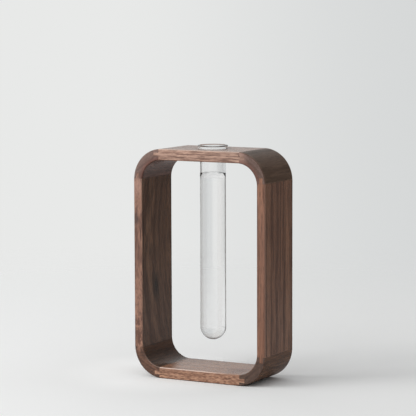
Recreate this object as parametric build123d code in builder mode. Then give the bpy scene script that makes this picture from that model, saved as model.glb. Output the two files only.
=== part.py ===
from build123d import *
from math import cos, radians, sin, tan
import os

# Test tube vase: a rounded walnut frame stands on its bottom rail and a glass tube hangs by its lip
# in the top rail. Millimetres, +X to the right, +Y to the back, +Z up. The origin is on the floor,
# in the middle of the bottom rail.

# Frame
frame_width = 143.0
frame_depth = 58.0
frame_height = 223.0
level_rail_thickness = 10.7
upright_rail_thickness = 9.0
outer_corner_radius = 30.5
inner_corner_radius = 21.0
arris_width = 0.7

# Corner blocks, measured from the outside of the frame to their joints
block_width = 27.7
block_height = 29.3

# Tongues on the rails and grooves in the blocks
tongue_thickness = 3.5
tongue_length = 5.5
glue_room = 0.15

# Glass tube
tube_radius = 12.5
glass_thickness = 1.2
lip_radius = 14.7
lip_height = 3.5
rim_radius = 0.9
neck_width = 0.4
flare_angle = 20
underside_angle = 24
room_below_tube = 26.8

# Hole for the tube
tube_clearance = 0.3
hole_arris_width = 0.3

# How far a cutting outline runs past what it cuts
overrun = 2.0

level_rail_length = frame_width - 2 * block_width
upright_rail_length = frame_height - 2 * block_height
top_rail_middle = frame_height - level_rail_thickness / 2
bottom_rail_middle = level_rail_thickness / 2
upright_rail_middle = frame_width / 2 - upright_rail_thickness / 2
groove_depth = tongue_length + glue_room
hole_radius = tube_radius + tube_clearance

os.makedirs("parts", exist_ok=True)


# The whole frame as it looks once it is glued up and shaped: every rail and block is cut out of it,
# so their faces and eased arrises run on into each other.
with BuildPart() as shaped_frame:
    with BuildSketch(Plane.XZ):
        with Locations((0, frame_height / 2)):
            RectangleRounded(frame_width, frame_height, outer_corner_radius)
            RectangleRounded(
                frame_width - 2 * upright_rail_thickness,
                frame_height - 2 * level_rail_thickness,
                inner_corner_radius,
                mode=Mode.SUBTRACT,
            )
    extrude(amount=frame_depth / 2, both=True)
    chamfer(shaped_frame.faces().filter_by(Axis.Y).edges(), arris_width)


# Top rail: a tongue on each end, and the hole that the tube hangs in
with BuildPart() as top_rail:
    with BuildSketch(Plane.XZ):
        with Locations((0, top_rail_middle)):
            Rectangle(level_rail_length, level_rail_thickness + 2 * overrun)
            Rectangle(level_rail_length + 2 * tongue_length, tongue_thickness)
    extrude(amount=frame_depth / 2 + overrun, both=True)
    add(shaped_frame.part, mode=Mode.INTERSECT)
    with Locations((0, 0, frame_height)):
        Hole(hole_radius)
    hole_edges = top_rail.edges().filter_by(GeomType.CIRCLE).filter_by(Plane.XY)
    chamfer(hole_edges, hole_arris_width)
top_rail.part.label = "top_rail"
export_step(top_rail.part, "parts/top_rail.step")


# Bottom rail: a tongue on each end
with BuildPart() as bottom_rail:
    with BuildSketch(Plane.XZ):
        with Locations((0, bottom_rail_middle)):
            Rectangle(level_rail_length, level_rail_thickness + 2 * overrun)
            Rectangle(level_rail_length + 2 * tongue_length, tongue_thickness)
    extrude(amount=frame_depth / 2 + overrun, both=True)
    add(shaped_frame.part, mode=Mode.INTERSECT)
bottom_rail.part.label = "bottom_rail"
export_step(bottom_rail.part, "parts/bottom_rail.step")


# Upright rails: a tongue on each end. The side is -1 for left and 1 for right.
for name, side in (("left_rail", -1), ("right_rail", 1)):
    with BuildPart() as upright_rail:
        with BuildSketch(Plane.XZ):
            with Locations((side * upright_rail_middle, frame_height / 2)):
                Rectangle(upright_rail_thickness + 2 * overrun, upright_rail_length)
                Rectangle(tongue_thickness, upright_rail_length + 2 * tongue_length)
        extrude(amount=frame_depth / 2 + overrun, both=True)
        add(shaped_frame.part, mode=Mode.INTERSECT)
    upright_rail.part.label = name
    export_step(upright_rail.part, f"parts/{name}.step")


# Corner blocks: one groove takes the level rail's tongue and the other the upright rail's.
# The side is as above, and the end is -1 for the bottom and 1 for the top.
for name, side, end in (
    ("corner_top_left", -1, 1),
    ("corner_top_right", 1, 1),
    ("corner_bottom_left", -1, -1),
    ("corner_bottom_right", 1, -1),
):
    with BuildPart() as corner_block:
        with BuildSketch(Plane.XZ):
            block_x = side * (level_rail_length + block_width + overrun) / 2
            block_z = frame_height / 2 + end * (upright_rail_length + block_height + overrun) / 2
            with Locations((block_x, block_z)):
                Rectangle(block_width + overrun, block_height + overrun)
            level_groove_x = side * (level_rail_length + groove_depth) / 2
            level_groove_z = frame_height / 2 + end * (frame_height - level_rail_thickness) / 2
            with Locations((level_groove_x, level_groove_z)):
                Rectangle(groove_depth, tongue_thickness, mode=Mode.SUBTRACT)
            upright_groove_x = side * upright_rail_middle
            upright_groove_z = frame_height / 2 + end * (upright_rail_length + groove_depth) / 2
            with Locations((upright_groove_x, upright_groove_z)):
                Rectangle(tongue_thickness, groove_depth, mode=Mode.SUBTRACT)
        extrude(amount=frame_depth / 2 + overrun, both=True)
        add(shaped_frame.part, mode=Mode.INTERSECT)
    corner_block.part.label = name
    export_step(corner_block.part, f"parts/{name}.step")


# Test tube: one half section of the glass, turned about the tube's axis. The bore widens through the
# flare into a round rim, whose slanted underside comes down to a narrow seat on the top rail.
bore_radius = tube_radius - glass_thickness
tube_bottom = level_rail_thickness + room_below_tube
bottom_centre = tube_bottom + tube_radius
rim_centre_x = lip_radius - rim_radius
rim_centre_z = frame_height + lip_height - rim_radius
flare_end_x = rim_centre_x - rim_radius * cos(radians(flare_angle))
flare_radius = (flare_end_x - bore_radius) / (1 - cos(radians(flare_angle)))
flare_end_z = rim_centre_z + rim_radius * sin(radians(flare_angle))
flare_start = flare_end_z - flare_radius * sin(radians(flare_angle))
rim_turn = 180 - flare_angle + underside_angle
rim_foot_x = rim_centre_x + rim_radius * cos(radians(underside_angle))
rim_foot_z = rim_centre_z - rim_radius * sin(radians(underside_angle))
seat_radius = rim_foot_x - (rim_foot_z - frame_height) * tan(radians(underside_angle))

with BuildPart() as test_tube:
    with BuildSketch(Plane.XZ):
        with BuildLine():
            CenterArc((0, bottom_centre), bore_radius, -90, 90)
            bore_wall = Line((bore_radius, bottom_centre), (bore_radius, flare_start))
            flare = JernArc(bore_wall @ 1, bore_wall % 1, flare_radius, -flare_angle)
            rim = JernArc(flare @ 1, flare % 1, rim_radius, -rim_turn)
            Line(rim @ 1, (seat_radius, frame_height))
            Line((seat_radius, frame_height), (tube_radius + neck_width, frame_height))
            Line((tube_radius + neck_width, frame_height), (tube_radius, frame_height - neck_width))
            Line((tube_radius, frame_height - neck_width), (tube_radius, bottom_centre))
            CenterArc((0, bottom_centre), tube_radius, -90, 90)
            Line((0, tube_bottom), (0, tube_bottom + glass_thickness))
        make_face()
    revolve(axis=Axis.Z)
test_tube.part.label = "test_tube"
export_step(test_tube.part, "parts/test_tube.step")
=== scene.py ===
from math import cos, radians, sin, tan

import bpy
import numpy as np
from mathutils import Matrix, Vector


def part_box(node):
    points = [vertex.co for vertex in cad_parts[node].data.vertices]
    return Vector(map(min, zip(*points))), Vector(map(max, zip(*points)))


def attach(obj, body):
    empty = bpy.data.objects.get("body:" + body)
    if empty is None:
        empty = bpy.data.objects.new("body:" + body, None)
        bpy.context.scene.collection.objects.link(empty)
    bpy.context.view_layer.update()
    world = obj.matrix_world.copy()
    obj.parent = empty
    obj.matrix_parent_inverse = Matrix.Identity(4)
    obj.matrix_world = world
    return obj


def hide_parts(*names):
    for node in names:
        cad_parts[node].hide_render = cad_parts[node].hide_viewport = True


# Test tube vase: an oiled walnut frame with a glass test tube of water hanging in its top rail.
# Everything is in metres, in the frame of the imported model: +X right, +Y back, +Z up.

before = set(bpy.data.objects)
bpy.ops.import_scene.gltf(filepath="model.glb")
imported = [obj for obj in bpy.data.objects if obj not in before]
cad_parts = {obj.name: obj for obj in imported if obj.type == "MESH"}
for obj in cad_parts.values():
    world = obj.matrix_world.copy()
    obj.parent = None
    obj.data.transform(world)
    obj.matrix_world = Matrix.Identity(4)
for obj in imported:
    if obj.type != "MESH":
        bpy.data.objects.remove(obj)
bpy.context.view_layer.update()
print("frame loaded:", len(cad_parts), "nodes")


def screenColour(red, green, blue):
    # A colour as a screen shows it, 0 to 255, in the linear values that a shader takes:
    # ((c + 0.055) / 1.055) ** 2.4, and c / 12.92 for the darkest
    share = np.array((red, green, blue)) / 255
    linear = np.where(share > 0.04045, ((share + 0.055) / 1.055) ** 2.4, share / 12.92)
    return (*linear.tolist(), 1.0)


def addNode(tree, kind, sockets=None, **settings):
    # One shader node. A socket takes a plain value, or the output that feeds it
    node = tree.nodes.new("ShaderNode" + kind)
    for name, value in settings.items():
        setattr(node, name, value)
    for name, value in (sockets or {}).items():
        if isinstance(value, bpy.types.NodeSocket):
            tree.links.new(value, node.inputs[name])
        else:
            node.inputs[name].default_value = value
    return node


def calculate(tree, operation, *values):
    # One Math node on plain values or outputs
    return addNode(tree, "Math", dict(enumerate(values)), operation=operation).outputs[0]


def vectorMath(tree, operation, *values):
    # One Vector Math node. A length, distance or dot product comes out as a number
    node = addNode(tree, "VectorMath", dict(enumerate(values)), operation=operation)
    return node.outputs["Value" if operation in ("LENGTH", "DISTANCE", "DOT_PRODUCT") else "Vector"]


def spread(tree, value, low, high):
    # 0 at low and 1 at high, with a smooth step between them
    sockets = {"Value": value, "From Min": low, "From Max": high}
    return addNode(tree, "MapRange", sockets, interpolation_type="SMOOTHSTEP").outputs[0]


def mixColour(tree, share, first, second):
    # first where share is 0, and second where it is 1
    return addNode(tree, "Mix", {0: share, 6: first, 7: second}, data_type="RGBA").outputs[2]


# Walnut

# What the boards have in common, and each board changes or adds to. A board always adds its grain, its
# heart (where the middle of the log is) and its dark, light and drift colours. Sizes are across and
# along the grain, and a tint is the share and the colour that are mixed in.
walnut = {
    "growthRing": 0.0034,               # one year's growth
    "ringRoughness": 0.55,
    "wander": (0.045, 0.2, 0.009),      # slow bend of the rings: width, length and how far
    "ripple": (0.004, 0.035, 0.0016),   # small bend of the rings
    "bow": (0.0, 0.0),                  # curve of the grain: how strong, and about which place along it
    "mottle": (0.0016, 0.018),          # blotch of darker or lighter wood
    "fibre": (0.0007, 0.022),
    "fleck": (0.0007, 0.008),           # dark dash between the fibres
    "pore": (0.00045, 0.0045),          # spacing of the pores
    "patch": (0.022, 0.15),             # slow drift of the colour
    "detail": {"wander": 2, "ripple": 2, "ring": 3, "mottle": 3, "fibre": 2, "fleck": 1, "patch": 1},
    "range": {                          # the part of each noise that is spread from 0 to 1
        "ring": (0.3, 0.7),
        "mottle": (0.34, 0.66),
        "fibre": (0.3, 0.7),
        "fleck": (0.56, 0.7),
        "pore": (0.3, 0.14),
        "patch": (0.36, 0.66),
    },
    "toneShares": (0.35, 0.25, 0.4),    # how much rings, mottle and fibres count
    "contrast": (0.25, 0.75),           # tones that come out fully dark and fully light
    "figureInside": 0.7,                # how strong the figure is away from the front and back
    "frontReach": (0.006, 0.001),       # how far in from the front and back it gets stronger
    "wideFace": (1.0, 1.0, 1.0),        # what the colour is multiplied by on the wide faces, as painted shade and light that sets them apart from the front and back
    "driftShare": 0.35,
    "fleckShare": 0.4,
    "poreShare": 0.5,
    "poreColour": screenColour(48, 34, 28),
    "marks": (),
    "arrisSide": (0.0, 0.0, 1.0),       # painted light on the eased arrises: those that face this way have the first of these tints,
    "arrisTowards": (0.7, screenColour(182, 152, 136)),     # and those that face away have the second; a pale tint is a painted highlight, a dark one painted shade
    "arrisAway": (0.5, screenColour(84, 56, 44)),
    "arrisFades": (1.0, 2.0),           # where along the grain the first painted tint dies away
    "edgeShadeLine": (0.0, screenColour(50, 35, 28)),            # a painted shade line on the wide faces, beside the arris
    "glueColour": screenColour(34, 25, 21),
    "glueLine": 0.00022,                # how far the dark glue line shows into a corner block
    "glueSolid": 1 / 3,                 # the share of it that is fully dark
    "glueShare": 0.8,
    "roughness": (0.3, 0.22),           # where the tone is dark, and where it is light
    "poreRoughness": 0.15,
    "specular": 0.35,
    "fibreBump": 0.35,
    "bumpHeight": 0.00012,
    "bumpStrength": 0.35,
}
grainAxes = {"X": (1, 2, 0), "Y": (0, 2, 1), "Z": (0, 1, 2)}    # across, over and along the grain
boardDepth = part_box("top_rail")[1].y

arris = {                               # depths in from the front and back, in widths of the arris
    "width": 0.0007,
    # the band of painted highlight and shade along each arris
    "arrisLightBand": ((1.2, 0.9), (0.02, 0.1)),      # each side of a band is where it is 0 and where it is 1
    # the band of the painted shade line beside the arris
    "shadeLineBand": ((4.0, 1.6), (1.0, 1.1)),
    "wideFaceEnds": (1.0, 0.5),
    "facing": (0.1, 0.6),               # how squarely it has to face arrisSide, or away from it
}

joints = {
    "middle": (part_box("right_rail")[0].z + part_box("right_rail")[1].z) / 2,
    "tongueLength": 0.0055,
    "tongueHalf": 0.00175,
    "curveCentre": (0.0415, 0.0798, 0.0),   # of a corner's inner curve, out from the frame's middle
    "innerRadius": 0.021,
    "outerRadius": 0.0302,
    "tintReach": (0.004, 0.001),            # how far in from the front and back the tints show
}


def mark(place, reach, colour, share, bend=0.0):
    # A cloud of another colour in a board, which can bend the rings round it. Its place and reach are
    # given across, over and along the grain.
    return {"place": place, "reach": reach, "colour": screenColour(*colour), "share": share, "bend": bend}


def inFromFront(tree, depth, start, end):
    # 0 at start and 1 at end, which are widths of the arris in from the front or back
    return spread(tree, depth, boardDepth - start * arris["width"], boardDepth - end * arris["width"])


def alongArris(tree, depth, band):
    # 1 between the two sides of a band that runs along the arris, and 0 beyond them
    inner, outer = (inFromFront(tree, depth, *side) for side in band)
    return calculate(tree, "MULTIPLY", inner, outer)


def cornerPlace(tree, axes):
    # Where a point of any corner block is, as (|x|, |z - middle|, 0), since all four are alike
    outward = calculate(tree, "ABSOLUTE", axes[0])
    upward = calculate(tree, "ABSOLUTE", calculate(tree, "SUBTRACT", axes[2], joints["middle"]))
    return outward, upward, addNode(tree, "CombineXYZ", {0: outward, 1: upward}).outputs[0]


def glueMask(tree, axes, look):
    # How near a point of a corner block is to the rails glued into it: the least of its distances to
    # the two shoulders and to the two tongues
    levelLow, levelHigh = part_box("top_rail")
    uprightLow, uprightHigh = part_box("right_rail")
    length = joints["tongueLength"]
    half = joints["tongueHalf"]
    outward, upward, flat = cornerPlace(tree, axes)
    levelMiddle = (levelLow.z + levelHigh.z) / 2 - joints["middle"]
    uprightEnd = uprightHigh.z - joints["middle"]
    uprightMiddle = (uprightLow.x + uprightHigh.x) / 2
    nearest = calculate(
        tree,
        "MINIMUM",
        calculate(tree, "SUBTRACT", outward, levelHigh.x - length),
        calculate(tree, "SUBTRACT", upward, uprightEnd - length),
    )
    for centre, size in (
        ((levelHigh.x - length / 2, levelMiddle, 0), (length / 2, half, 0)),
        ((uprightMiddle, uprightEnd - length / 2, 0), (half, length / 2, 0)),
    ):
        fromCentre = vectorMath(tree, "ABSOLUTE", vectorMath(tree, "SUBTRACT", flat, centre))
        beyond = vectorMath(tree, "MAXIMUM", vectorMath(tree, "SUBTRACT", fromCentre, size), (0, 0, 0))
        nearest = calculate(tree, "MINIMUM", nearest, vectorMath(tree, "LENGTH", beyond))
    return spread(tree, nearest, look["glueLine"], look["glueLine"] * look["glueSolid"])


def tintEndGrain(tree, axes, depth, look, colour):
    # Tints the end grain of a corner block towards its level rail, along its inner curve and along its
    # outer curve. Each of these is a colour, a share and how far it reaches.
    outward, upward, flat = cornerPlace(tree, axes)
    fromCentre = vectorMath(tree, "SUBTRACT", flat, joints["curveCentre"])
    radius = vectorMath(tree, "LENGTH", vectorMath(tree, "MAXIMUM", fromCentre, (0, 0, 0)))
    deep, shallow = joints["tintReach"]
    endGrain = spread(tree, depth, boardDepth - deep, boardDepth - shallow)
    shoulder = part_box("top_rail")[1].x - joints["tongueLength"]
    for name, value, edge, side in (
        ("railTint", outward, shoulder, 1),
        ("innerTint", radius, joints["innerRadius"], 1),
        ("outerTint", radius, joints["outerRadius"], -1),
    ):
        if name in look:
            tint, share, reach = look[name]
            near = spread(tree, value, edge + side * reach, edge)
            near = calculate(tree, "MULTIPLY", calculate(tree, "MULTIPLY", near, endGrain), share)
            colour = mixColour(tree, near, colour, tint)
    return colour


def walnutMaterial(name, piece):
    # Growth rings are noise in the distance from the heart of the log, bent by slower noise and round
    # marks. Fibres, flecks and pores are noise stretched along the grain, so that end grain shows them
    # as dots. A bowed board is straight wood looked up at over - strength (along - middle) ** 2.
    look = {**walnut, **piece}
    material = bpy.data.materials.new(name)
    material.use_nodes = True
    tree = material.node_tree
    tree.nodes.clear()
    place = addNode(tree, "TexCoord").outputs["Object"]
    axes = addNode(tree, "SeparateXYZ", {0: place}).outputs
    across, over, along = grainAxes[look["grain"]]
    bow, middle = look["bow"]
    fromMiddle = calculate(tree, "POWER", calculate(tree, "SUBTRACT", axes[along], middle), 2.0)
    bowed = calculate(tree, "MULTIPLY_ADD", fromMiddle, -bow, axes[over])
    board = addNode(tree, "CombineXYZ", {0: axes[across], 1: bowed, 2: axes[along]}).outputs[0]
    log = vectorMath(tree, "SUBTRACT", board, look["heart"])

    def stretched(layer):
        width, length = look[layer][:2]
        squeezed = vectorMath(tree, "MULTIPLY", log, (1 / width, 1 / width, 1 / length))
        return {"Vector": squeezed, "Scale": 1.0}

    def noise(layer):
        sockets = {**stretched(layer), "Detail": look["detail"][layer]}
        return addNode(tree, "TexNoise", sockets).outputs[0]

    # Rings, bent and marked
    distance = vectorMath(tree, "LENGTH", vectorMath(tree, "MULTIPLY", log, (1, 1, 0)))
    for bend in ("wander", "ripple"):
        distance = calculate(tree, "MULTIPLY_ADD", noise(bend), look[bend][2], distance)
    clouds = []
    for cloud in look["marks"]:
        markAcross, markOver, markAlong = cloud["place"]
        centre = (markAcross, markOver - bow * (markAlong - middle) ** 2, markAlong)
        away = vectorMath(tree, "DIVIDE", vectorMath(tree, "SUBTRACT", board, centre), cloud["reach"])
        near = spread(tree, vectorMath(tree, "LENGTH", away), 1.0, 0.0)
        distance = calculate(tree, "MULTIPLY_ADD", near, cloud["bend"], distance)
        clouds.append((near, cloud["share"], cloud["colour"]))
    rings = addNode(
        tree,
        "TexNoise",
        {
            "W": calculate(tree, "DIVIDE", distance, look["growthRing"]),
            "Scale": 1.0,
            "Detail": look["detail"]["ring"],
            "Roughness": look["ringRoughness"],
        },
        noise_dimensions="1D",
    ).outputs[0]
    rings = spread(tree, rings, *look["range"]["ring"])
    mottles, fibres, flecks, patches = (
        spread(tree, noise(layer), *look["range"][layer])
        for layer in ("mottle", "fibre", "fleck", "patch")
    )
    pores = addNode(tree, "TexVoronoi", stretched("pore")).outputs[0]
    pores = spread(tree, pores, *look["range"]["pore"])

    # Tone, from 0 for dark wood to 1 for light
    tone = 0.0
    for layer, share in zip((rings, mottles, fibres), look["toneShares"]):
        tone = calculate(tree, "MULTIPLY_ADD", layer, share, tone)
    depth = calculate(tree, "ABSOLUTE", axes[1])
    deep, shallow = look["frontReach"]
    atFront = spread(tree, depth, boardDepth - deep, boardDepth - shallow)
    strength = calculate(tree, "MULTIPLY_ADD", atFront, 1 - look["figureInside"], look["figureInside"])
    tone = calculate(tree, "SUBTRACT", spread(tree, tone, *look["contrast"]), 0.5)
    tone = calculate(tree, "MULTIPLY_ADD", tone, strength, 0.5)

    # Colour, with what lies over the figure
    colour = mixColour(tree, tone, look["dark"], look["light"])
    for layer, share, tint in (
        (patches, look["driftShare"], look["drift"]),
        *clouds,
        (flecks, look["fleckShare"], look["poreColour"]),
        (pores, look["poreShare"], look["poreColour"]),
    ):
        colour = mixColour(tree, calculate(tree, "MULTIPLY", layer, share), colour, tint)
    if look["grain"] == "Y":
        colour = tintEndGrain(tree, axes, depth, look, colour)
    # Painted shade and light: the faces other than the front and back have their colour multiplied by
    # wideFace
    wide = vectorMath(tree, "MULTIPLY", colour, look["wideFace"])
    colour = mixColour(tree, inFromFront(tree, depth, *arris["wideFaceEnds"]), wide, colour)

    # Painted highlight and shade on the arrises, by which way they face, and a painted shade line beside
    # them
    onArris = alongArris(tree, depth, arris["arrisLightBand"])
    facing = addNode(tree, "NewGeometry").outputs["True Normal"]
    facing = vectorMath(tree, "DOT_PRODUCT", facing, look["arrisSide"])
    low, high = arris["facing"]
    lasting = spread(tree, axes[along], *reversed(look["arrisFades"]))
    for arrisTint, limits, reach in (("arrisTowards", (low, high), lasting), ("arrisAway", (-low, -high), 1.0)):
        share, tint = look[arrisTint]
        paintedShare = calculate(tree, "MULTIPLY", onArris, spread(tree, facing, *limits))
        paintedShare = calculate(tree, "MULTIPLY", paintedShare, reach)
        colour = mixColour(tree, calculate(tree, "MULTIPLY", paintedShare, share), colour, tint)
    # Painted shade: a dark line on the wide faces beside the arris
    share, tint = look["edgeShadeLine"]
    if share:
        line = calculate(tree, "MULTIPLY", alongArris(tree, depth, arris["shadeLineBand"]), share)
        colour = mixColour(tree, line, colour, tint)
    if look["grain"] == "Y":
        glue = calculate(tree, "MULTIPLY", glueMask(tree, axes, look), look["glueShare"])
        colour = mixColour(tree, glue, colour, look["glueColour"])

    # Sheen and relief
    inDark, inLight = look["roughness"]
    rough = calculate(tree, "MULTIPLY_ADD", tone, inLight - inDark, inDark)
    rough = calculate(tree, "MULTIPLY_ADD", pores, look["poreRoughness"], rough)
    height = calculate(tree, "SUBTRACT", calculate(tree, "MULTIPLY", fibres, look["fibreBump"]), pores)
    bump = addNode(tree, "Bump", {
        "Height": height,
        "Distance": look["bumpHeight"],
        "Strength": look["bumpStrength"],
    })
    shader = addNode(tree, "BsdfPrincipled", {
        "Base Color": colour,
        "Roughness": rough,
        "Specular IOR Level": look["specular"],
        "Normal": bump.outputs[0],
    })
    addNode(tree, "OutputMaterial", {"Surface": shader.outputs[0]})
    return material


def dressBoard(node, board):
    # Gives a frame node, which keeps its shape, its own walnut
    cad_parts[node].data.materials[0] = walnutMaterial(node + "_walnut", board)
    print("walnut on", node, "with the grain along", board["grain"])


topRail = {
    "grain": "X",
    "heart": (-0.035, 0.1, 0.4),
    "mottle": (0.0014, 0.01),
    "fibre": (0.0007, 0.018),
    "toneShares": (0.25, 0.35, 0.4),
    "contrast": (0.22, 0.78),
    "dark": screenColour(119, 90, 77),
    "light": screenColour(183, 149, 132),
    "drift": screenColour(135, 115, 103),
    "marks": (
        mark((-0.029, 0.2135, -0.0475), (0.01, 0.0035, 0.009), (120, 80, 62), 0.6),
        mark((-0.029, 0.2177, -0.049), (0.01, 0.003, 0.006), (130, 102, 90), 0.45),
        mark((-0.029, 0.2194, 0.0438), (0.008, 0.0016, 0.0016), (70, 48, 40), 0.9),
    ),
    "arrisTowards": (0.75, screenColour(210, 186, 172)),
    "arrisAway": (0.9, screenColour(112, 72, 50)),
    "roughness": (0.34, 0.25),
}
dressBoard("top_rail", topRail)

bottomRail = {
    "grain": "X",
    "heart": (0.05, -0.12, 0.9),
    "mottle": (0.0009, 0.0036),
    "fibre": (0.0006, 0.008),
    "toneShares": (0.2, 0.45, 0.35),
    "contrast": (0.2, 0.8),
    "dark": screenColour(111, 76, 59),
    "light": screenColour(183, 142, 117),
    "drift": screenColour(134, 101, 85),
    "fleckShare": 0.5,
    "wideFace": (1.08, 0.97, 0.86),
    "marks": (
        # painted shade: the top face darker and browner towards the right rail, where its gloss fades
        mark((-0.008, 0.0107, 0.034), (0.026, 0.005, 0.022), (98, 50, 32), 0.75),
    ),
    "arrisTowards": (0.85, screenColour(222, 200, 188)),
    "arrisAway": (0.8, screenColour(66, 42, 32)),
    "arrisFades": (0.0, 0.05),
}
dressBoard("bottom_rail", bottomRail)

leftRail = {
    "grain": "Z",
    "heart": (-0.05, -0.15, 1.3),
    "bow": (1.85, 0.13),
    "growthRing": 0.009,
    "mottle": (0.0022, 0.02),
    "toneShares": (0.3, 0.3, 0.4),
    "contrast": (0.32, 0.68),
    "dark": screenColour(90, 62, 51),
    "light": screenColour(169, 128, 107),
    "drift": screenColour(109, 80, 69),
    "driftShare": 0.5,
    "wideFace": (0.64, 0.67, 0.62),
    "marks": (
        mark((-0.0625, -0.0032, 0.0867), (0.02, 0.0095, 0.024), (40, 40, 40), 0.85, bend=0.008),
        mark((-0.0625, -0.0131, 0.119), (0.02, 0.009, 0.014), (50, 40, 42), 0.4, bend=0.002),
        mark((-0.0625, -0.0154, 0.17), (0.02, 0.008, 0.035), (48, 40, 32), 0.3),
        mark((-0.0686, -0.029, 0.1541), (0.0035, 0.006, 0.01), (70, 60, 58), 0.6, bend=0.003),
        mark((-0.067, -0.029, 0.187), (0.01, 0.008, 0.018), (172, 136, 122), 0.5),
    ),
    "arrisSide": (1.0, 0.0, 0.0),
    "arrisTowards": (0.15, screenColour(190, 158, 142)),
    "edgeShadeLine": (0.5, screenColour(40, 29, 24)),
}
dressBoard("left_rail", leftRail)

rightRail = {
    "grain": "Z",
    "heart": (-0.1, 0.1, 1.9),
    "growthRing": 0.005,
    "wander": (0.045, 0.2, 0.004),
    "ripple": (0.004, 0.035, 0.0007),
    "mottle": (0.0013, 0.028),
    "fibre": (0.0008, 0.06),
    "contrast": (0.3, 0.7),
    "figureInside": 1.1,
    "dark": screenColour(88, 58, 45),
    "light": screenColour(141, 101, 81),
    "drift": screenColour(99, 70, 59),
    "wideFace": (0.91, 0.95, 0.92),
    "arrisSide": (-1.0, 0.0, 0.0),
    "arrisTowards": (0.0, screenColour(170, 140, 124)),
    "arrisAway": (0.4, screenColour(190, 150, 130)),
    "edgeShadeLine": (0.7, screenColour(40, 29, 24)),
}
dressBoard("right_rail", rightRail)

cornerTopLeft = {
    "grain": "Y",
    "heart": (0.03, 0.09, 0.3),
    "dark": screenColour(89, 69, 62),
    "light": screenColour(132, 104, 95),
    "drift": screenColour(94, 77, 72),
    "wideFace": (0.94, 0.86, 0.82),
    "innerTint": (screenColour(96, 60, 50), 0.8, 0.0055),
    "outerTint": (screenColour(146, 126, 118), 0.2, 0.005),
    "arrisTowards": (0.05, screenColour(150, 124, 112)),
}
dressBoard("corner_top_left", cornerTopLeft)

cornerTopRight = {
    "grain": "Y",
    "heart": (-0.03, 0.11, 0.7),
    "contrast": (0.14, 0.86),
    "dark": screenColour(77, 59, 51),
    "light": screenColour(111, 90, 83),
    "drift": screenColour(91, 71, 63),
    "driftShare": 0.6,
    "wideFace": (0.9, 0.85, 0.66),
    "railTint": (screenColour(160, 128, 116), 0.8, 0.011),
    "innerTint": (screenColour(104, 68, 58), 0.7, 0.006),
    "outerTint": (screenColour(150, 128, 120), 0.12, 0.006),
    "marks": (
        mark((0.0447, 0.2194, -0.029), (0.0013, 0.0016, 0.008), (70, 48, 40), 0.8),
    ),
    "arrisSide": (-0.7, 0.0, -0.7),
    "arrisTowards": (0.8, screenColour(70, 46, 38)),
    "arrisAway": (0.3, screenColour(84, 60, 50)),
    "glueShare": 0.15,
    "roughness": (0.42, 0.34),
    "specular": 0.25,
}
dressBoard("corner_top_right", cornerTopRight)

cornerBottomLeft = {
    "grain": "Y",
    "heart": (0.02, 0.14, 1.1),
    "contrast": (0.3, 0.7),
    "dark": screenColour(70, 50, 40),
    "light": screenColour(123, 90, 74),
    "drift": screenColour(84, 62, 54),
    "wideFace": (0.785, 0.795, 0.71),
    "outerTint": (screenColour(70, 56, 50), 0.5, 0.003),
    "arrisTowards": (0.4, screenColour(170, 146, 134)),
}
dressBoard("corner_bottom_left", cornerBottomLeft)

cornerBottomRight = {
    "grain": "Y",
    "heart": (-0.02, 0.12, 1.5),
    "dark": screenColour(64, 49, 42),
    "light": screenColour(108, 87, 76),
    "drift": screenColour(74, 58, 52),
    "wideFace": (1.23, 0.9, 0.56),
    "arrisTowards": (0.4, screenColour(150, 126, 114)),
    "arrisAway": (0.7, screenColour(54, 38, 30)),
}
dressBoard("corner_bottom_right", cornerBottomRight)


# Glass tube and its water

def arc(centre, radius, start, end, count):
    # centre + radius (cos a, sin a), with a from start to end in degrees
    angle = np.radians(np.linspace(start, end, count))
    return np.stack([centre[0] + radius * np.cos(angle), centre[1] + radius * np.sin(angle)], 1)


def lathe(name, profile, segments):
    # A half section turned about the Z axis: x = r cos a, y = r sin a, z = z. The section starts and
    # ends on the axis, where one point closes the fan of triangles round it.
    angle = np.linspace(0, 2 * np.pi, segments, endpoint=False)
    radius, height = profile[1:-1].T
    turned = np.stack([
        np.outer(radius, np.cos(angle)),
        np.outer(radius, np.sin(angle)),
        np.repeat(height[:, None], segments, axis=1),
    ], 2).reshape(-1, 3)
    firstPole = (0, 0, profile[0, 1])
    lastPole = (0, 0, profile[-1, 1])
    points = np.concatenate([[firstPole], turned, [lastPole]])
    ring = 1 + np.arange(len(radius) * segments).reshape(-1, segments)
    beside = np.roll(ring, -1, axis=1)
    quads = np.stack([ring[:-1], beside[:-1], beside[1:], ring[1:]], 2).reshape(-1, 4)
    firstFan = np.stack([np.zeros(segments, int), beside[0], ring[0]], 1)
    lastFan = np.stack([np.full(segments, len(points) - 1), ring[-1], beside[-1]], 1)
    mesh = bpy.data.meshes.new(name)
    mesh.from_pydata(points.tolist(), [], quads.tolist() + firstFan.tolist() + lastFan.tolist())
    mesh.shade_smooth()
    piece = bpy.data.objects.new(name, mesh)
    bpy.context.scene.collection.objects.link(piece)
    return piece


def wall(radius, low, high, count):
    # The points of a straight wall between two heights, without its ends, which lie in its neighbours
    return np.stack([np.full(count, radius), np.linspace(low, high, count + 2)[1:-1]], 1)


def clearMaterial(name, look):
    # A clear solid, such as glass or water
    material = bpy.data.materials.new(name)
    material.use_nodes = True
    tree = material.node_tree
    tree.nodes.clear()
    shader = addNode(tree, "BsdfPrincipled", {
        "Base Color": look["colour"],
        "Roughness": look["roughness"],
        "IOR": look["ior"],
        "Transmission Weight": 1.0,
    })
    addNode(tree, "OutputMaterial", {"Surface": shader.outputs[0]})
    return material


tubeLow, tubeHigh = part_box("test_tube")
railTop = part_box("top_rail")[1].z

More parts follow.
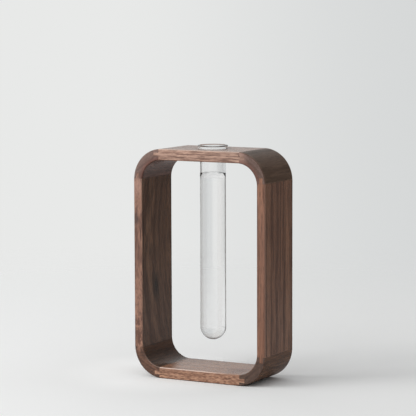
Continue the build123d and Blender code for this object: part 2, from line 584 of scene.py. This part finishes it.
glassTube = {
    "radius": 0.0125,
    "wall": 0.0012,
    "rimRadius": 0.0009,
    "flareAngle": 20,
    "undersideAngle": 24,
    "neckRadius": 0.0004,      # of the hollow between the tube and its seat on the top rail
    "seatRounding": 0.0003,    # between the seat and the slanted underside of the lip
    "bottomPoints": 40,
    "wallPoints": 23,
    "seatPoints": 6,
    "rimPoints": 24,
    "flarePoints": 12,
    "segments": 192,
    "colour": (1.0, 1.0, 1.0, 1.0),
    "roughness": 0.0,
    "ior": 1.5,
}


def glassSection(tube):
    # Up the outside from the round bottom to the lip, over the rim, and down the bore. The flare turns
    # from the bore's direction into the rim, (1 - cos flareAngle) flareRadius further out.
    bore = tube["radius"] - tube["wall"]
    capHeight = tubeLow.z + tube["radius"]
    rim = (tubeHigh.x - tube["rimRadius"], tubeHigh.z - tube["rimRadius"])
    flareAngle = radians(tube["flareAngle"])
    flareEnd = rim[0] - tube["rimRadius"] * cos(flareAngle)
    flareRadius = (flareEnd - bore) / (1 - cos(flareAngle))
    flareStart = rim[1] + (tube["rimRadius"] - flareRadius) * sin(flareAngle)
    underside = radians(tube["undersideAngle"])
    footRadius = rim[0] + tube["rimRadius"] * cos(underside)
    footHeight = rim[1] - tube["rimRadius"] * sin(underside)
    seatRadius = footRadius - (footHeight - railTop) * tan(underside)
    rounding = tube["seatRounding"]
    turn = radians(90 - tube["undersideAngle"]) / 2
    seatCentre = (seatRadius - rounding * tan(turn), railTop + rounding)
    neck = tube["neckRadius"]
    neckHeight = railTop - neck
    rimStart = 180 - tube["flareAngle"]
    return np.concatenate([
        arc((0, capHeight), tube["radius"], -90, 0, tube["bottomPoints"]),
        wall(tube["radius"], capHeight, neckHeight, tube["wallPoints"]),
        arc((tube["radius"] + neck, neckHeight), neck, 180, 90, tube["seatPoints"]),
        arc(seatCentre, rounding, -90, -tube["undersideAngle"], tube["seatPoints"]),
        arc(rim, tube["rimRadius"], -tube["undersideAngle"], rimStart, tube["rimPoints"]),
        arc((bore + flareRadius, flareStart), flareRadius, rimStart, 180, tube["flarePoints"])[1:],
        wall(bore, flareStart, capHeight, tube["wallPoints"]),
        arc((0, capHeight), bore, 0, -90, tube["bottomPoints"]),
    ])


testTube = lathe("glass_test_tube", glassSection(glassTube), glassTube["segments"])
testTube.data.materials.append(clearMaterial("clear_glass", glassTube))
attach(testTube, "tube")
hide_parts("test_tube")
print("glass tube made:", len(testTube.data.vertices), "points")

tubeWater = {
    "level": 0.1996,           # height of the flat middle of the surface
    "climb": 0.0001,           # how far the edge climbs up the glass
    "climbWidth": 0.0006,      # how far in from the glass the climb dies away
    "intoGlass": 0.00006,      # overlap that leaves no film of air between the water and the glass
    "surfacePoints": 40,
    "segments": 192,
    "colour": (1.0, 1.0, 1.0, 1.0),
    "roughness": 0.0,
    "ior": 1.333,
}


def waterSection(water, tube):
    # Up the bore from its round bottom, then in over the curved surface:
    # z = level + climb exp(-(radius - r) / climbWidth), with r = radius s ** 2 and s from 1 to 0
    radius = tube["radius"] - tube["wall"] + water["intoGlass"]
    capHeight = tubeLow.z + tube["radius"]
    inward = radius * (1 - np.linspace(1, 0, water["surfacePoints"]) ** 2)
    surface = water["level"] + water["climb"] * np.exp(-inward / water["climbWidth"])
    return np.concatenate([
        arc((0, capHeight), radius, -90, 0, tube["bottomPoints"]),
        wall(radius, capHeight, surface[0], tube["wallPoints"]),
        np.stack([radius - inward, surface], 1),
    ])


water = lathe("water", waterSection(tubeWater, glassTube), tubeWater["segments"])
water.data.materials.append(clearMaterial("water", tubeWater))
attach(water, "tube")
print("water made:", len(water.data.vertices), "points")


# Floor, backdrop, lamps and camera

# What is seen of the floor and backdrop, what gloss mirrors of them and what light they give the object
# each have colours of their own. "sideways" points from the light side of the backdrop to the dark one,
# to the right in the picture, and every pair of numbers is where a change begins and where it is done.
stage = {
    "floorRadius": 5.0,
    "floorSides": 128,
    "floorDrop": 0.00005,                     # keeps the floor off the underside of the bottom rail
    "floorLight": screenColour(243, 244, 243),
    "floorDark": screenColour(233, 234, 233),
    "floorTurnsDark": (-0.25, 0.2),           # metres sideways: painted light, the floor paler towards the light and darker away from it
    # painted light on the floor near the object
    "floorPaintedLight": screenColour(251, 252, 251),
    "floorPaintedLightAt": (-0.05, 0.0, 0.0),       # painted light: the floor paler round a place under the left side, lifting the shade there
    "floorPaintedLightFrom": (0.12, 0.05),          # metres from there
    "floorInGloss": (0.4, 0.4, 0.4, 1.0),     # the floor as gloss mirrors it
    "fade": (0.25, 1.1),                      # radii between which the floor turns into the backdrop
    "sideways": (0.8757, 0.4828, 0.0),
    "lightSide": screenColour(232, 233, 232),
    "darkSide": screenColour(214, 216, 216),
    "turnsDark": (-0.056, 0.115),             # how far sideways a ray points
    "roomTurnsDark": (-0.35, 0.45),           # how far along +X, for gloss and for light on the object
    "dimRoom": (0.1, 0.1, 0.1, 1.0),          # what gloss sees on the dark side
    "ambientLight": (0.51, 0.51, 0.515, 1.0),
    "ambientDark": (0.33, 0.33, 0.335, 1.0),
    "overhead": (0.68, 0.68, 0.685, 1.0),     # light on the object from straight up
    "overheadFrom": (0.0, 1.0),               # how far up a ray points
    "darkRoom": (0.08, 0.08, 0.08, 1.0),      # above and to both sides
    "ceilingFrom": (0.3, 0.8),                # how far up a ray points, in gloss and through glass
    "sideRoomFrom": (0.7, 0.88),              # how far sideways, through glass only
    "sideRoomShift": -0.1,                    # starts it nearer on the light side
}


def seenThrough(tree):
    # 1 for a ray that sees the stage itself, from the camera or through glass
    ray = addNode(tree, "LightPath").outputs
    return calculate(tree, "MAXIMUM", ray["Is Camera Ray"], ray["Is Transmission Ray"])


def makeBackdrop():
    # The world: a pale colour, a little darker to one side. Gloss sees it dim away from the light, and
    # as light on the object it is dimmer still. Gloss and glass see a dark room above it, and glass
    # sees one to both sides too.
    world = bpy.data.worlds.new("studio")
    bpy.context.scene.world = world
    world.use_nodes = True
    tree = world.node_tree
    tree.nodes.clear()
    direction = addNode(tree, "TexCoord").outputs["Generated"]
    axes = addNode(tree, "SeparateXYZ", {0: direction}).outputs
    aside = vectorMath(tree, "DOT_PRODUCT", direction, stage["sideways"])
    darker = spread(tree, aside, *stage["turnsDark"])
    pale = mixColour(tree, darker, stage["lightSide"], stage["darkSide"])
    away = spread(tree, axes["X"], *stage["roomTurnsDark"])
    gloss = mixColour(tree, away, pale, stage["dimRoom"])
    ambient = mixColour(tree, away, stage["ambientLight"], stage["ambientDark"])
    overhead = spread(tree, axes["Z"], *stage["overheadFrom"])
    ambient = mixColour(tree, overhead, ambient, stage["overhead"])
    ray = addNode(tree, "LightPath").outputs
    high = spread(tree, axes["Z"], *stage["ceilingFrom"])
    bent = calculate(tree, "MAXIMUM", ray["Is Transmission Ray"], ray["Is Glossy Ray"])
    moved = calculate(tree, "ADD", aside, stage["sideRoomShift"])
    toSide = spread(tree, calculate(tree, "ABSOLUTE", moved), *stage["sideRoomFrom"])
    throughGlass = calculate(tree, "MULTIPLY", toSide, ray["Is Transmission Ray"])
    inDarkRoom = calculate(tree, "MAXIMUM", calculate(tree, "MULTIPLY", high, bent), throughGlass)
    colour = mixColour(tree, ray["Is Glossy Ray"], ambient, gloss)
    colour = mixColour(tree, seenThrough(tree), colour, pale)
    colour = mixColour(tree, inDarkRoom, colour, stage["darkRoom"])
    shader = addNode(tree, "Background", {"Color": colour, "Strength": 1.0})
    addNode(tree, "OutputWorld", {"Surface": shader.outputs[0]})


def makeFloor():
    # A flat disc that shows the object's shadow and lets the backdrop through further out. Its colour has
    # painted light: paler towards the light, and paler still round a place under the left side
    angle = np.linspace(0, 2 * np.pi, stage["floorSides"], endpoint=False)
    rim = stage["floorRadius"] * np.stack([np.cos(angle), np.sin(angle)], 1)
    points = np.column_stack([rim, np.full(len(rim), -stage["floorDrop"])])
    mesh = bpy.data.meshes.new("floor")
    mesh.from_pydata(points.tolist(), [], [list(range(len(points)))])
    floor = bpy.data.objects.new("floor", mesh)
    bpy.context.scene.collection.objects.link(floor)
    material = bpy.data.materials.new("pale_floor")
    material.use_nodes = True
    tree = material.node_tree
    tree.nodes.clear()
    place = addNode(tree, "TexCoord").outputs["Object"]
    outward = spread(tree, vectorMath(tree, "LENGTH", place), *stage["fade"])
    glossy = addNode(tree, "LightPath").outputs["Is Glossy Ray"]
    away = calculate(tree, "MULTIPLY", outward, calculate(tree, "MAXIMUM", seenThrough(tree), glossy))
    # Painted light: the floor darker away from the side the light comes from
    aside = vectorMath(tree, "DOT_PRODUCT", place, stage["sideways"])
    darker = spread(tree, aside, *stage["floorTurnsDark"])
    colour = mixColour(tree, darker, stage["floorLight"], stage["floorDark"])
    # Painted light: the floor paler round a place under the left side
    fromPaintedLight = vectorMath(tree, "DISTANCE", place, stage["floorPaintedLightAt"])
    near = spread(tree, fromPaintedLight, *stage["floorPaintedLightFrom"])
    colour = mixColour(tree, near, colour, stage["floorPaintedLight"])
    inGloss = calculate(tree, "GREATER_THAN", glossy, seenThrough(tree))
    colour = mixColour(tree, inGloss, colour, stage["floorInGloss"])
    matt = addNode(tree, "BsdfDiffuse", {"Color": colour})
    gone = addNode(tree, "BsdfTransparent")
    shader = addNode(tree, "MixShader", {0: away, 1: matt.outputs[0], 2: gone.outputs[0]})
    addNode(tree, "OutputMaterial", {"Surface": shader.outputs[0]})
    mesh.materials.append(material)


makeBackdrop()
makeFloor()

softbox = {
    "from": (-0.5, -0.87),     # compass direction that the light comes from
    "elevation": 26,
    "distance": 5.0,
    "width": 7.5,
    "height": 4.25,
    "power": 206,
    "aim": (0.0, 0.0, 0.1),
}
sideLamp = {                   # smaller, so that the shadow on the floor has a shape
    "from": (-0.66, -0.75),
    "elevation": 30,
    "distance": 5.0,
    "width": 1.6,
    "height": 1.0,
    "power": 30,
    "aim": (0.0, 0.0, 0.1),
}


def makeLamp(name, lamp):
    # A panel of light at aim + distance (cos e from, sin e), with e its elevation, turned to face the
    # aim. Only what it lights is seen, never the panel itself.
    light = bpy.data.lights.new(name, "AREA")
    light.shape = "RECTANGLE"
    light.size = lamp["width"]
    light.size_y = lamp["height"]
    light.energy = lamp["power"]
    level = Vector((*lamp["from"], 0)).normalized() * cos(radians(lamp["elevation"]))
    towards = level + Vector((0, 0, sin(radians(lamp["elevation"]))))
    holder = bpy.data.objects.new(name, light)
    holder.location = Vector(lamp["aim"]) + towards * lamp["distance"]
    holder.rotation_euler = towards.to_track_quat("Z", "Y").to_euler()
    holder.visible_camera = False
    holder.visible_transmission = False
    holder.visible_glossy = False
    bpy.context.scene.collection.objects.link(holder)


makeLamp("softbox", softbox)
makeLamp("side_lamp", sideLamp)

viewpoint = {
    "azimuth": 28.87,
    "elevation": 5.973,
    "roll": -0.178,
    "distance": 1.9766,
    "lookAt": (-0.00549, 0.0, 0.16518),
    "lens": 177.1,
    "sensor": 36.0,
}


def makeCamera(eye):
    # Looks back along (sin a cos e, -cos a cos e, sin e) from its distance, turned by its roll
    azimuth, elevation, roll = (radians(eye[name]) for name in ("azimuth", "elevation", "roll"))
    back = Vector((sin(azimuth) * cos(elevation), -cos(azimuth) * cos(elevation), sin(elevation)))
    level = Vector((cos(azimuth), sin(azimuth), 0))
    upward = back.cross(level)
    right = cos(roll) * level + sin(roll) * upward
    up = cos(roll) * upward - sin(roll) * level
    data = bpy.data.cameras.new("camera")
    data.lens = eye["lens"]
    data.sensor_width = eye["sensor"]
    camera = bpy.data.objects.new("camera", data)
    camera.rotation_euler = Matrix((right, up, back)).transposed().to_euler()
    camera.location = Vector(eye["lookAt"]) + back * eye["distance"]
    bpy.context.scene.collection.objects.link(camera)
    bpy.context.scene.camera = camera


makeCamera(viewpoint)
bpy.context.scene.view_settings.view_transform = "Standard"
print("stage, lamps and camera made")
